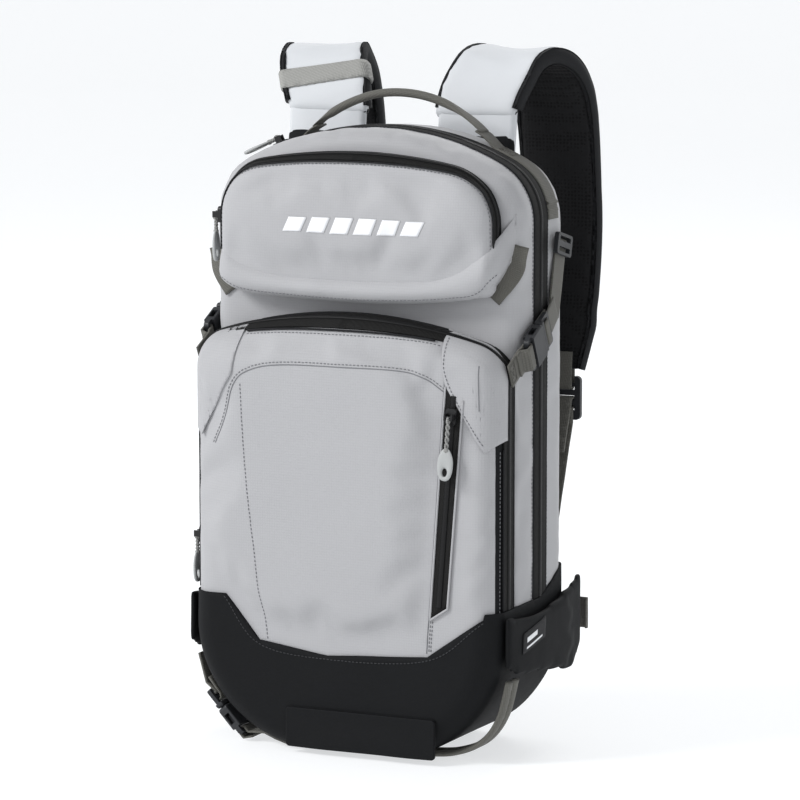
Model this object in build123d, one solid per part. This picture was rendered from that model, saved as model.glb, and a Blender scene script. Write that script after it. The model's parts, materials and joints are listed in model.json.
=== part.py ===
from build123d import *
import os
from math import cos, radians, sin, sqrt

# A 20-litre ski backpack. Millimetres, +Z up, front towards -Y, the wearer's back towards +Y,
# origin at the middle of the flat bottom. Left and right are as seen from the front.

# ---- driving dimensions ----
WALL = 2.5            # fabric, lining and foam
HALF = 132.0          # half the width of the body
LOW = 1.6             # underside of the compartments, above the floor
FOOT = 100.0          # rounding of the two bottom corners
BACK_Y = 58.0         # back of the rear compartment
SPLIT_Y = 5.0         # wall between rear and main compartments
MAIN_Y = -42.0        # front wall of the main compartment
POCKET_Y = -84.0      # face of the front pocket
TOP = 493.0           # crown of the main arch
TOP_R = 229.0         # radius of the main arch's crown
POCKET_TOP = 350.0    # crown of the front pocket
POCKET_R = 351.0
GOGGLE_HALF = 118.0
GOGGLE_TOP = 476.0
GOGGLE_R = 420.0
GOGGLE_LOW = 366.0
GOGGLE_Y = -62.0
GOGGLE_CORNER = 46.0
TAPE = 1.2            # zip tape thickness
SKIN = 1.6            # thickness of the base boot
WEB = 1.4             # webbing thickness
WEB_W = 20.0          # webbing width of the narrow straps
BUCKLE_T = 9.0
PIN_Z = 7.0           # height of a zip slider's pin above its tape
CLEAR = 0.4           # running clearance of moving pieces

# name: (half width, low, crown, crown radius, top corner, foot corner)
MAIN = (HALF, LOW, TOP, TOP_R, 50.0, FOOT)
POCKET = (HALF, LOW, POCKET_TOP, POCKET_R, 30.0, FOOT)
GOGGLE = (GOGGLE_HALF, GOGGLE_LOW, GOGGLE_TOP, GOGGLE_R, GOGGLE_CORNER, 8.0)
REAR_EDGE, MAIN_EDGE, POCKET_EDGE, GOGGLE_EDGE = 14.0, 14.0, 20.0, 10.0

os.makedirs("parts", exist_ok=True)


def save(name, part):
    part.label = name
    export_step(part, f"parts/{name}.step")


def one(part):
    """The single solid of a boolean result."""
    solids = part.solids()
    return solids[0] if len(solids) == 1 else Compound(children=list(solids))


# ---- shapes that the body is built from ----
def arch(shape, grow=0.0):
    """Arch-topped outline; local x is X and local y is Z."""
    half, low, crown, radius, corner, foot = shape
    half, low, crown, radius = half + grow, low - grow, crown + grow, radius + grow
    side = crown - (radius - sqrt(radius**2 - half**2))
    with BuildSketch() as sk:
        with BuildLine():
            Polyline((half, side), (half, low), (-half, low), (-half, side))
            ThreePointArc((-half, side), (0, crown), (half, side))
        make_face()
        fillet(sk.vertices().sort_by(Axis.Y)[-2:], corner + grow)
        fillet(sk.vertices().sort_by(Axis.Y)[:2], foot + grow)
    return sk.sketch


def slab(shape, y_back, y_front, grow=0.0, back=0.0, front=0.0):
    """An arch-topped slab from y_back to y_front, its edges rounded by back and front."""
    y_back, y_front = y_back + grow, y_front - grow
    body = extrude(Plane.XZ.offset(-y_back) * arch(shape, grow), y_back - y_front)
    if front:
        body = fillet(body.faces().sort_by(Axis.Y)[0].edges(), front + grow)
    if back:
        body = fillet(body.faces().sort_by(Axis.Y)[-1].edges(), back + grow)
    return body


def band(shape, y_back, y_front, t0, t1):
    """The skin between two offsets of an outline, as a belt from y_back to y_front."""
    depth = y_back - y_front
    ring = arch(shape, t1) - arch(shape, t0)
    return extrude(Plane.XZ.offset(-y_back) * ring, depth)


def front_prism(points, y_back, y_front):
    """A polygon drawn in the front view, pushed through from y_back to y_front."""
    face = make_face(Polyline(*points, close=True))
    return extrude(Plane.XZ.offset(-y_back) * face, y_back - y_front)


def side_prism(points, x0, x1):
    """A polygon drawn in the side view (y, z), pushed from x0 to x1."""
    face = make_face(Polyline(*points, close=True))
    return extrude(Plane.YZ.offset(x0) * face, x1 - x0)


def block(x0, x1, y0, y1, z0, z1):
    return Pos((x0 + x1) / 2, (y0 + y1) / 2, (z0 + z1) / 2) * Box(x1 - x0, y1 - y0, z1 - z0)


def webbing(plane, points, width, thick=WEB, bend=1.6):
    """A strap whose thickness follows points in the plane and whose width is square to it."""
    line = FilletPolyline(*points, radius=bend) if len(points) > 2 else Polyline(*points)
    return extrude(plane * trace(line, thick), width / 2, both=True)


def flip(part):
    return mirror(part, Plane.YZ)


# ---- hardware ----
def buckle_female(width):
    """Side-release socket: mouth at x = 0, body towards -x, webbing bar at the far end."""
    body = Pos(-13.5, 0, 0) * Box(27, width + 8, BUCKLE_T)
    body = fillet(body.edges().filter_by(Axis.Z), 3.0)
    body = fillet(body.faces().filter_by(Axis.Z).edges(), 1.4)
    body -= Pos(-9.6, 0, 0) * Box(21.4, width + 1, 5.6)
    body -= Pos(-11.5, 0, 0) * Box(9.5, width + 20, 4.6)
    for s in (1, -1):
        body -= Pos(-24, 0, s * 4.4) * Box(7.4, width + 20, 4.8)
    body -= Pos(-22.4, 0, 0) * Box(3.6, width + 1.4, 20)
    return one(body)


def buckle_male(width):
    """Side-release plug: shoulder at x = 0.4, prongs towards -x, two webbing slots towards +x."""
    body = Pos(9.1, 0, 0) * Box(17.4, width + 8, 7)
    body = fillet(body.edges().filter_by(Axis.Z), 2.5)
    body = fillet(body.faces().filter_by(Axis.Z).edges(), 1.2)
    for s in (1, -1):
        body -= Pos(11.6, 0, s * 3.6) * Box(15.0, width + 20, 4.0)
    for x in (6.6, 12.9):
        body -= Pos(x, 0, 0) * Box(3.6, width + 1.4, 20)
    body += Pos(-7.6, 0, 0) * Box(17.2, 4.6, 3.4)
    half = (width + 1) / 2
    arm = Polyline((1.0, half - 5.2), (-15.5, half - 4.0), (-18.0, half - 2.6), (-15.8, half - 0.5),
                   (-8.6, half - 0.5), (-7.4, half - 2.4), (1.0, half - 2.6), close=True)
    prong = extrude(make_face(arm), 1.9, both=True)
    body += prong + mirror(prong, Plane.XZ)
    return one(body)


def sewn_loop(plane, far, width=WEB_W, lift=0.0):
    """Webbing stitched down far behind a socket and folded round its bar."""
    path = [(far, lift), (-31, lift), (-29.6, -3.4), (-22.4, -3.4), (-22.4, 3.2), (-30.2, 3.2),
            (-33.5, lift + 1.5), (-40, lift + 1.5)]
    return one(webbing(plane, path, width))


def threaded(plane, far, lift, width=WEB_W):
    """Webbing that comes from far, passes under the plug, round its middle bar and back as a tail."""
    path = [(far, lift), (24, -1.6), (15.4, -3.0), (12.9, -3.0), (12.9, 3.0), (6.6, 3.0),
            (6.6, -3.1), (9.5, -5.0), (26, -4.6)]
    return one(webbing(plane, path, width, bend=0.9))


def side_plane(frame):
    """The plane across a buckle's frame in which its webbing bends."""
    return Plane(frame.origin, x_dir=frame.x_dir, z_dir=-frame.y_dir)


def zip_slider():
    """Slider on a flat tape: x across, y along the zip, z off the tape."""
    body = Pos(0, 0, 1.9) * Box(9, 13, 3.0)
    body = fillet(body.edges().filter_by(Axis.Z), 2.6)
    body -= Pos(0, 0, 0.7) * Box(5.2, 20, 1.4)
    for s in (1, -1):
        body += Pos(s * 2.9, 0, 5.8) * Box(1.2, 5.0, 5.6)
    body += Pos(0, 0, PIN_Z) * Rot(0, 90, 0) * Cylinder(1.1, 6.4)
    return one(body)


def zip_pull(length, tab_width=13.0, tab_length=26.0):
    """Pull that hangs from a slider's pin, towards -y, over the tape."""
    z, middle = PIN_Z, tab_length / 2 - length
    eye = Pos(0, 0, z) * Rot(0, 90, 0) * Cylinder(2.8, 3.6)
    cord_end = tab_length - length - 2
    cord = Pos(0, (cord_end - 2.2) / 2, z) * Box(3.0, -cord_end - 2.2, 2.4)
    tab = Pos(0, middle, z) * extrude(SlotOverall(tab_length, tab_width, rotation=90), 1.3, both=True)
    hole = SlotOverall(8, tab_width * 0.4, rotation=90)
    tab -= Pos(0, middle - tab_length / 2 + 7.5, z) * extrude(hole, 3, both=True)
    pull = eye + cord + tab
    return one(pull - Pos(0, 0, z) * Rot(0, 90, 0) * Cylinder(1.6, 10))


def put(part, origin, along, normal):
    """Places a slider or pull: local y along, local z off the surface."""
    y, z = Vector(*along).normalized(), Vector(*normal).normalized()
    return Plane(origin, x_dir=y.cross(z), z_dir=z).location * part


# ---- compartments ----
rear = slab(MAIN, BACK_Y, SPLIT_Y + 0.2, back=REAR_EDGE)
rear_room = slab(MAIN, BACK_Y, SPLIT_Y + 0.2, grow=-WALL, back=REAR_EDGE)
save("rear_compartment", one(rear - rear_room))

low_main = block(-HALF, HALF, MAIN_Y, MAIN_Y + 22, LOW, POCKET_TOP - 34)
low_main &= slab(MAIN, SPLIT_Y, MAIN_Y)
main = slab(MAIN, SPLIT_Y - 0.2, MAIN_Y, front=MAIN_EDGE)
main_room = slab(MAIN, SPLIT_Y - 0.2, MAIN_Y, grow=-WALL, front=MAIN_EDGE)
save("main_compartment", one((main + low_main) - main_room))

pocket = slab(POCKET, MAIN_Y - 0.4, POCKET_Y, front=POCKET_EDGE)
pocket_room = slab(POCKET, MAIN_Y - 0.4, POCKET_Y, grow=-WALL, front=POCKET_EDGE)
save("front_pocket", one(pocket - pocket_room))

goggle = slab(GOGGLE, MAIN_Y - 0.4, GOGGLE_Y, front=GOGGLE_EDGE)
goggle_room = slab(GOGGLE, MAIN_Y - 0.4, GOGGLE_Y, grow=-WALL, front=GOGGLE_EDGE)
save("goggle_pocket", one(goggle - goggle_room))

# ---- zip tapes: flat belts on the outline, open at the bottom ----
MAIN_ZIP = (17.0, -7.0)
FRONT_ZIP = (-48.0, -66.0)
GOGGLE_ZIP = (-43.0, -54.5)


def zip_tape(shape, ys, z_end):
    tape = band(shape, *ys, 0, TAPE)
    return one(tape - block(-200, 200, -200, 200, -50, z_end))


save("main_zip_tape", zip_tape(MAIN, MAIN_ZIP, 124))
# the front zip runs up the sides and comes forward on to the pocket's rounded top edge
front_route = [(FRONT_ZIP[0], 124), (FRONT_ZIP[0], 322), (-60, 345), (-60, 360), (-90, 360), (-90, 349),
               (-80.5, 340.5), (FRONT_ZIP[1], 318), (FRONT_ZIP[1], 124)]
front_tape = slab(POCKET, FRONT_ZIP[0], POCKET_Y, grow=TAPE, front=POCKET_EDGE)
front_tape -= slab(POCKET, FRONT_ZIP[0] + 9, POCKET_Y, front=POCKET_EDGE)
save("front_zip_tape", one(front_tape & side_prism(front_route, -200, 200)))
# the goggle zip comes forward in the same way, over the pocket's crown
goggle_route = [(GOGGLE_ZIP[0], 396), (GOGGLE_ZIP[0], 450), (-49, 470), (-49, 490), (-66, 490), (-66, 477),
                (-60.6, 470.6), (-55.5, 452), (GOGGLE_ZIP[1], 396)]
goggle_tape = slab(GOGGLE, GOGGLE_ZIP[0], GOGGLE_Y, grow=1.0, front=GOGGLE_EDGE)
goggle_tape -= slab(GOGGLE, GOGGLE_ZIP[0] + 9, GOGGLE_Y, front=GOGGLE_EDGE)
save("goggle_zip_tape", one(goggle_tape & side_prism(goggle_route, -200, 200)))

ENTRY_TOP, ENTRY_LOW = (99.0, 296.0), (86.0, 122.0)
ENTRY_W = 15.0
entry = make_face(Polyline((ENTRY_TOP[0] - ENTRY_W / 2, ENTRY_TOP[1] + 5), (ENTRY_TOP[0] + ENTRY_W / 2,
                  ENTRY_TOP[1] - 5), (ENTRY_LOW[0] + ENTRY_W / 2, ENTRY_LOW[1] + 4),
                  (ENTRY_LOW[0] - ENTRY_W / 2, ENTRY_LOW[1] - 6), close=True))
save("side_entry_tape", one(extrude(Plane.XZ.offset(-POCKET_Y) * entry, TAPE)))

# ---- base boot: a skin round the bottom, dipping at the front ----
boot_outer = slab(MAIN, BACK_Y, POCKET_Y, grow=SKIN, back=REAR_EDGE, front=POCKET_EDGE)
boot_inner = slab(MAIN, BACK_Y, POCKET_Y, back=REAR_EDGE, front=POCKET_EDGE)
boot = boot_outer - boot_inner - block(-200, 200, -120, 120, 123, 600)
scoop = [(-112, 140), (-101, 123), (-71, 88), (-11, 80), (76, 86), (123, 119), (128, 140)]
boot -= front_prism(scoop, -64, -120)
save("base_boot", one(boot))

flap_y = POCKET_Y - SKIN - 0.2
flap = block(-46, 84, flap_y - 3.0, flap_y, 5, 37)
flap = fillet(flap.edges().filter_by(Axis.Y), 3.0)
save("base_flap", one(fillet(flap.faces().sort_by(Axis.Y)[0].edges(), 1.2)))

# ---- goggle band: a tuck under the goggle pocket that runs back to both sides ----
band_outline = [(-HALF, 420), (-112, 404), (-90, 387), (-66, 377), (66, 377), (104, 392), (HALF, 420),
                (HALF, 384), (100, 366), (64, 359), (-64, 359), (-100, 366), (-HALF, 384)]
tuck = front_prism(band_outline, MAIN_Y - 0.4, GOGGLE_Y - 4.5)
tuck &= slab((121.4, LOW, TOP, TOP_R, 50.0, FOOT), MAIN_Y, GOGGLE_Y - 4.5, front=14)
tuck -= slab(GOGGLE, MAIN_Y + 2, GOGGLE_Y, grow=1.2, front=GOGGLE_EDGE)
tuck -= slab(POCKET, MAIN_Y + 2, POCKET_Y, grow=0.2)
save("goggle_band", one(tuck))

# ---- wing flaps: cloth lapped round the front corners over the ends of the front zip ----
wing_outline = [(86, 345), (140, 336), (140, 262), (124, 250), (91, 302)]
lap = slab(POCKET, MAIN_Y - 0.4, POCKET_Y, grow=2.6, front=POCKET_EDGE)
lap -= slab(POCKET, MAIN_Y - 0.4, POCKET_Y, grow=1.4, front=POCKET_EDGE)
lap &= front_prism(wing_outline, -56, -120)
wing = one(lap)
save("wing_flap_right", wing)
save("wing_flap_left", flip(wing))

# ---- hip wings: padded fins on the flanks, with a small woven label on the right one ----
hip_path = [(HALF + 4.6, -72), (HALF + 7.5, -20), (HALF + 7.5, 30), (HALF + 2.5, 82)]
hip_side = [(-73, 80), (-73, 121), (-40, 117), (10, 119), (50, 124), (84, 133), (84, 76), (62, 56),
            (0, 64), (-55, 72)]


def hip_wing(thick):
    fin = extrude(Plane.XY.offset(90) * trace(Spline(*hip_path), thick), 60, both=True)
    return fin & side_prism(hip_side, 120, 160)


hip = hip_wing(5.0)
save("hip_wing_right", one(hip))
save("hip_wing_left", flip(one(hip)))
label = (hip_wing(6.2) - hip_wing(5.0)) & side_prism([(-52, 88), (-50, 104), (-10, 112), (-12, 96)], 139, 160)
save("side_label", one(label))

# ---- back panel: foam plate with two long pads and a lumbar pad ----
plate_y = BACK_Y + SKIN + 0.2
plate = extrude(Plane.XZ.offset(-(BACK_Y + 6)) * arch((114, 34, 462, 300, 60, 72)), BACK_Y + 6 - plate_y)
pads = []
for x in (-52, 52):
    pad = Pos(x, BACK_Y + 9.6, 272) * Box(68, 8, 300)
    pads.append(fillet(pad.edges().filter_by(Axis.Y), 22))
pads.append(fillet((Pos(0, BACK_Y + 9.6, 74) * Box(176, 8, 66)).edges().filter_by(Axis.Y), 22))
for pad in pads:
    plate += fillet(pad.faces().sort_by(Axis.Y)[-1].edges(), 3.0)
save("back_panel", one(plate))

# ---- shoulder straps ----
HINGE_Y, HINGE_Z = 74.0, 492.0
RIGHT = [(46, 74, 496, 72, 12), (50, 79, 516, 72, 12), (66, 101, 545, 72, 12), (80, 129, 534, 70, 12),
         (86, 148, 492, 68, 12), (88, 153, 432, 66, 12), (92, 148, 372, 60, 12), (97, 139, 320, 46, 11),
         (100, 132, 288, 32, 9)]
LEFT = [(-84, 74, 496, 72, 12), (-89, 79, 516, 72, 12), (-102, 101, 545, 72, 12), (-106, 129, 534, 70, 12),
        (-106, 148, 492, 68, 12), (-104, 153, 432, 66, 12), (-102, 148, 372, 60, 12),
        (-101, 139, 320, 46, 11), (-100, 132, 288, 32, 9)]


def strap(stations, extra=0.0, steps=26):
    """A padded strap through stations of (x, y, z, width, thickness), both ends cut square."""
    pts = [Vector(*s[:3]) for s in stations]
    spine = Spline(*pts, tangents=[(0, 0.1, 1), (0, -0.2, -1)])
    run = [0.0]
    for a, b in zip(pts, pts[1:]):
        run.append(run[-1] + (b - a).length)
    faces = []
    for i in range(steps):
        t = i / (steps - 1)
        k = max(j for j in range(len(pts) - 1) if run[j] <= t * run[-1])
        f = min(1.0, (t * run[-1] - run[k]) / (run[k + 1] - run[k]))
        width, thick = (stations[k][n] * (1 - f) + stations[k + 1][n] * f for n in (3, 4))
        along = spine % t
        across = (Vector(1, 0, 0) - along * along.X).normalized()
        outline = RectangleRounded(width + extra, thick + extra, thick * 0.42)
        faces.append(Plane(spine @ t, x_dir=across, z_dir=along) * outline)
    return loft(faces, ruled=True)


def strap_end(x):
    """The webbing tube at a strap's lower end that holds the adjuster's bar."""
    tube = Pos(x, 130.5, 277) * Rot(0, 90, 0) * (Cylinder(3.6, 17) - Cylinder(2.3, 30))
    return tube + Pos(x, 131.4, 284.2) * Box(17, 2.4, 9.6)


straps = {}
for name, stations in (("right", RIGHT), ("left", LEFT)):
    straps[name] = one(strap(stations) + strap_end(stations[-1][0]))
    save(f"shoulder_strap_{name}", straps[name])

# A webbing band round the left strap, near its root
keeper_room = Pos(-96, 84, 524) * Rot(-28, -10, 0) * Box(120, 60, 13)
keeper = (strap(LEFT, 2.8) & keeper_room) - (strap(LEFT, 0.4) & keeper_room)
save("hose_keeper", one(keeper))

yoke = None
for x in (46, -84):
    pad = fillet((Pos(x, BACK_Y + 11, 463) * Box(72, 9, 42)).edges(), 3.0)
    yoke = pad if yoke is None else yoke + pad
yoke += block(-84, 46, BACK_Y + 6.8, BACK_Y + 10.5, 446, 470)
save("strap_yoke", one(yoke - plate))

# ---- ladder locks under the straps, with the adjusting webbing down to the base ----
LOCK_Y, LOCK_Z = 130.5, 277.0


def ladder_lock(x):
    frame = Box(31, 4.4, 36)
    frame = fillet(frame.edges().filter_by(Axis.Y), 4.0)
    frame -= Pos(0, 0, 13) * Box(21, 10, 13)
    frame -= Pos(0, 0, 0.2) * Box(21, 10, 3.8)
    frame -= Pos(0, 0, -8.0) * Box(21, 10, 4.2)
    frame = Pos(x, LOCK_Y, LOCK_Z - 11) * frame
    return one(frame + Pos(x, LOCK_Y, LOCK_Z) * Rot(0, 90, 0) * Cylinder(1.7, 26))


def strap_webbing(x):
    """From the base seam up to the adjuster, round its lower bar, and down again as a tail."""
    side = Plane((x, 0, 0), x_dir=(0, 1, 0), z_dir=(1, 0, 0))
    path = [(BACK_Y + 8.0, 96), (78, 120), (126.6, 246), (126.6, 257.6), (134.4, 258.6), (134.4, 266.4),
            (124.8, 266.4), (123.0, 262), (108, 224)]
    return one(webbing(side, path, WEB_W, bend=1.0))


for name, x in (("right", 100), ("left", -100)):
    save(f"ladder_lock_{name}", ladder_lock(x))
    save(f"strap_webbing_{name}", strap_webbing(x))

# ---- sternum strap across the two shoulder straps ----
STERNUM_Y, STERNUM_Z = 164.3, 425.0
sternum = Plane((0, STERNUM_Y, STERNUM_Z), x_dir=(1, 0, 0), z_dir=(0, 1, 0))
across = side_plane(sternum)
save("sternum_buckle_female", sternum.location * buckle_female(WEB_W))
save("sternum_buckle_male", sternum.location * buckle_male(WEB_W))
save("sternum_webbing_left", sewn_loop(across, -112, lift=-4.0))
save("sternum_webbing_right", threaded(across, 96, -4.2))

# ---- waist strap behind the lumbar pad ----
waist = Plane((0, BACK_Y + 40, 96), x_dir=(1, 0, 0), z_dir=(0, 1, 0))
across = side_plane(waist)
save("waist_buckle_female", waist.location * buckle_female(WEB_W + 5))
save("waist_buckle_male", waist.location * buckle_male(WEB_W + 5))
path = [(-HALF - 5.5, -8), (-HALF - 5.5, -4), (-96, 0), (-31, 0), (-29.6, -3.4), (-22.4, -3.4), (-22.4, 3.2),
        (-30.2, 3.2), (-33.5, 1.6), (-44, 1.6)]
save("waist_webbing_left", one(webbing(across, path, WEB_W + 5, bend=1.2)))
path = [(HALF + 5.5, -8), (HALF + 5.5, -4), (96, -2), (24, -1.6), (15.4, -3.0), (12.9, -3.0), (12.9, 3.0),
        (6.6, 3.0), (6.6, -3.1), (9.5, -5.0), (60, -5.4)]
save("waist_webbing_right", one(webbing(across, path, WEB_W + 5, bend=0.9)))

# ---- side compression straps over the zips ----
TILT = 27.0
lift_x = HALF + 8.0
comp = Plane((lift_x, -12, 333), x_dir=(0, cos(radians(TILT)), sin(radians(TILT))), z_dir=(1, 0, 0))
across = side_plane(comp)
female = comp.location * buckle_female(WEB_W)
male = comp.location * buckle_male(WEB_W)
front_web = sewn_loop(across, -55, lift=-4.4)
rear_web = threaded(across, 44, -4.2)
rear_web += Pos(lift_x - 4.9, 32.5, 376) * Rot(-14, 0, 0) * Box(WEB, WEB_W, 62)
rear_web = one(rear_web)


def triglide():
    frame = fillet(Box(3.6, 29, 17).edges().filter_by(Axis.X), 2.5)
    for z in (-4.2, 4.2):
        frame -= Pos(0, 0, z) * Box(10, 21.4, 3.8)
    return frame


glide = one(Pos(lift_x + 0.2 - 1.6, 36, 402) * Rot(-14, 0, 0) * triglide())
for name, hand in (("right", lambda p: p), ("left", flip)):
    save(f"compression_buckle_female_{name}", hand(female))
    save(f"compression_buckle_male_{name}", hand(male))
    save(f"compression_webbing_front_{name}", hand(front_web))
    save(f"compression_webbing_rear_{name}", hand(rear_web))
    save(f"triglide_{name}", hand(glide))

# ---- bottom strap round the left foot corner, and the ski loop round the right one ----
STRAP_Y = -58.0
foot_x, foot_z = HALF - FOOT, LOW + FOOT
CORNER = 47.0
reach = FOOT + SKIN + 8.4
bx = -foot_x - reach * sin(radians(CORNER))
bz = foot_z - reach * cos(radians(CORNER))
down = (-cos(radians(CORNER)), 0, sin(radians(CORNER)))
out = (-sin(radians(CORNER)), 0, -cos(radians(CORNER)))
bottom = Plane((bx, STRAP_Y, bz), x_dir=down, z_dir=out)
across = side_plane(bottom)
save("bottom_buckle_female", bottom.location * buckle_female(WEB_W))
save("bottom_buckle_male", bottom.location * buckle_male(WEB_W))
skin_r = FOOT + SKIN + WEB * 0.65      # middle of webbing that lies on the boot's corner
on_skin = [(-skin_r * sin(radians(a)), skin_r * cos(radians(a)) - reach) for a in (34, 28, 22)]
path = on_skin + [(-31, -6.5), (-28.8, -3.4), (-22.4, -3.4), (-22.4, 3.2), (-29.8, 3.2), (-34, -4)]
save("bottom_webbing_front", one(webbing(across, path, WEB_W, bend=1.0)))
path = [(46, -12.8), (24, -1.6), (15.4, -3.0), (12.9, -3.0), (12.9, 3.0), (6.6, 3.0), (6.6, -3.1),
        (9.5, -5.0), (26, -6.4)]
save("bottom_webbing_rear", one(webbing(across, path, WEB_W, bend=0.9)))

loop_plane = Plane((0, STRAP_Y, 0), x_dir=(1, 0, 0), z_dir=(0, -1, 0))
loop = [(62, 1.9), (90, 6), (114, 18), (129, 38), (137.5, 69)]
save("ski_loop", one(extrude(loop_plane * trace(Spline(*loop), 3.2), 12, both=True)))

# ---- grab handle: a rolled loop between two tabs sewn over the shoulders ----
HANDLE_Y, HANDLE_Z, HANDLE_HALF = 28.0, 490.0, 74.0
arc = ThreePointArc((-HANDLE_HALF, HANDLE_Y, HANDLE_Z), (0, HANDLE_Y, 519), (HANDLE_HALF, HANDLE_Y, HANDLE_Z))
handle = sweep(Plane(arc @ 0, z_dir=arc % 0) * Circle(3.6), path=arc)
save("grab_handle", one(handle))
tabs = band(MAIN, HANDLE_Y + 9.5, HANDLE_Y - 9.5, 0.1, 2.2)
tabs -= block(-79, 79, -100, 100, 300, 600) + block(-200, 200, -100, 100, -50, 436)
ear = block(77.5, 84, HANDLE_Y - 3, HANDLE_Y + 3, 479, 492)
for part in (ear, flip(ear)):
    tabs += part - slab(MAIN, BACK_Y, MAIN_Y, grow=0.1)
save("handle_tabs", one(tabs))

# ---- zip sliders and their pulls ----
along = (ENTRY_TOP[0] - ENTRY_LOW[0], 0, ENTRY_TOP[1] - ENTRY_LOW[1])
entry_at = (97.4, POCKET_Y - TAPE - CLEAR, 278)
places = {
    "side_entry": (entry_at, along, (0, -1, 0), 50),
    "main_low": ((-HALF - TAPE - CLEAR, 5, 163), (0, 0, 1), (-1, 0, 0), 40),
    "front": ((-HALF - TAPE - CLEAR, -57, 165), (0, 0, 1), (-1, 0, 0), 40),
}
turn_top = radians(24)
top_r = TOP_R + TAPE + 0.5
places["main_top"] = ((-top_r * sin(turn_top), 5, TOP - TOP_R + top_r * cos(turn_top)),
                      (cos(turn_top), 0, sin(turn_top)), (-sin(turn_top), 0, cos(turn_top)), 34)
# the goggle zip's slider stands where its straight side runs into the corner arc
corner_z = GOGGLE_TOP - GOGGLE_R + sqrt((GOGGLE_R - GOGGLE_CORNER)**2 - (GOGGLE_HALF - GOGGLE_CORNER)**2)
places["goggle"] = ((-GOGGLE_HALF - 1.0 - CLEAR, -48.6, corner_z), (0, 0, 1), (-1, 0, 0), 38)
for name, (origin, direction, normal, length) in places.items():
    wide = 10.5 if name == "goggle" else 13.0
    save(f"slider_{name}", put(zip_slider(), origin, direction, normal))
    save(f"pull_{name}", put(zip_pull(length, wide), origin, direction, normal))
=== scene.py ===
# Looks of the ski backpack: cloth, zips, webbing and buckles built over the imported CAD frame.
import json
import math
import random

import bmesh
import bpy
import numpy as np
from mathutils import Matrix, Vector, noise
from mathutils.bvhtree import BVHTree


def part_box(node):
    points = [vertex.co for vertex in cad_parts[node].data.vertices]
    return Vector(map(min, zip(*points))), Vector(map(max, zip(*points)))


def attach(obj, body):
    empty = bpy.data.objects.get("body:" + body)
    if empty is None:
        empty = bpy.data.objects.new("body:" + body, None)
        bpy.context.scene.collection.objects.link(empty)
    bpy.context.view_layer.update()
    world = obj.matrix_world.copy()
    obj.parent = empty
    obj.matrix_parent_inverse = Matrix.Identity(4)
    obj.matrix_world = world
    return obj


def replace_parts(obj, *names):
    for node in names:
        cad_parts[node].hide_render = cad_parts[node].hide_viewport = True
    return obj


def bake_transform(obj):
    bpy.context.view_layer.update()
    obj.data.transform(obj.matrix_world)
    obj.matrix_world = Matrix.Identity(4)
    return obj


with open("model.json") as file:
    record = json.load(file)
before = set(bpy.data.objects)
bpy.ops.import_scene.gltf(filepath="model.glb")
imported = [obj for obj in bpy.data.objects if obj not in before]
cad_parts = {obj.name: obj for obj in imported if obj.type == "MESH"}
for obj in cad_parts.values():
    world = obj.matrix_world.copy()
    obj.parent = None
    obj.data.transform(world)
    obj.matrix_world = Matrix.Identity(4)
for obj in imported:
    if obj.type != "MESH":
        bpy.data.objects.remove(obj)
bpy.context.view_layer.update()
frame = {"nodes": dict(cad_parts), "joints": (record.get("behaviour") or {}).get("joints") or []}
NODE = frame["nodes"]
JOINT = {j["name"]: j for j in frame["joints"]}
rng = random.Random(7)


# ---------------------------------------------------------------- materials
def shader(name, color, rough, spec=0.5, sheen=0.0, metallic=0.0):
    """A new material, with its node tree and its Principled node."""
    m = bpy.data.materials.new(name)
    m.use_nodes = True
    nt = m.node_tree
    b = nt.nodes["Principled BSDF"]
    b.inputs["Base Color"].default_value = (*color, 1)
    b.inputs["Roughness"].default_value = rough
    b.inputs["Specular IOR Level"].default_value = spec
    b.inputs["Metallic"].default_value = metallic
    if sheen:
        b.inputs["Sheen Weight"].default_value = sheen
        b.inputs["Sheen Roughness"].default_value = 0.5
    return m, nt, b


def feed(nt, socket, value):
    """Link value into socket if it is another socket, or set it."""
    if hasattr(value, "is_linked"):
        nt.links.new(value, socket)
    else:
        socket.default_value = value


def add(nt, kind, **sockets):
    n = nt.nodes.new(kind)
    for k, v in sockets.items():
        feed(nt, n.inputs[k], v)
    return n


def op(nt, how, a, b=None):
    n = nt.nodes.new("ShaderNodeMath")
    n.operation = how
    for i, v in enumerate((a, b)):
        if v is not None:
            feed(nt, n.inputs[i], v)
    return n.outputs[0]


def centred(nt, value, gain):
    """Noise of 0 to 1 turned into a swing of gain about 0."""
    return op(nt, "MULTIPLY", op(nt, "SUBTRACT", value, 0.5), gain)


def clamp01(nt, value):
    return op(nt, "MAXIMUM", op(nt, "MINIMUM", value, 1.0), 0.0)


def mix_color(nt, f, a, b):
    n = nt.nodes.new("ShaderNodeMix")
    n.data_type = "RGBA"
    nt.links.new(f, n.inputs[0])
    n.inputs[6].default_value = (*a, 1)
    n.inputs[7].default_value = (*b, 1)
    return n.outputs[2]


def bump(nt, b, height, strength, distance, normal=None):
    n = nt.nodes.new("ShaderNodeBump")
    n.inputs["Strength"].default_value = strength
    n.inputs["Distance"].default_value = distance
    nt.links.new(height, n.inputs["Height"])
    if normal is not None:
        nt.links.new(normal, n.inputs["Normal"])
    nt.links.new(n.outputs[0], b.inputs["Normal"])
    return n.outputs[0]


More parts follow.
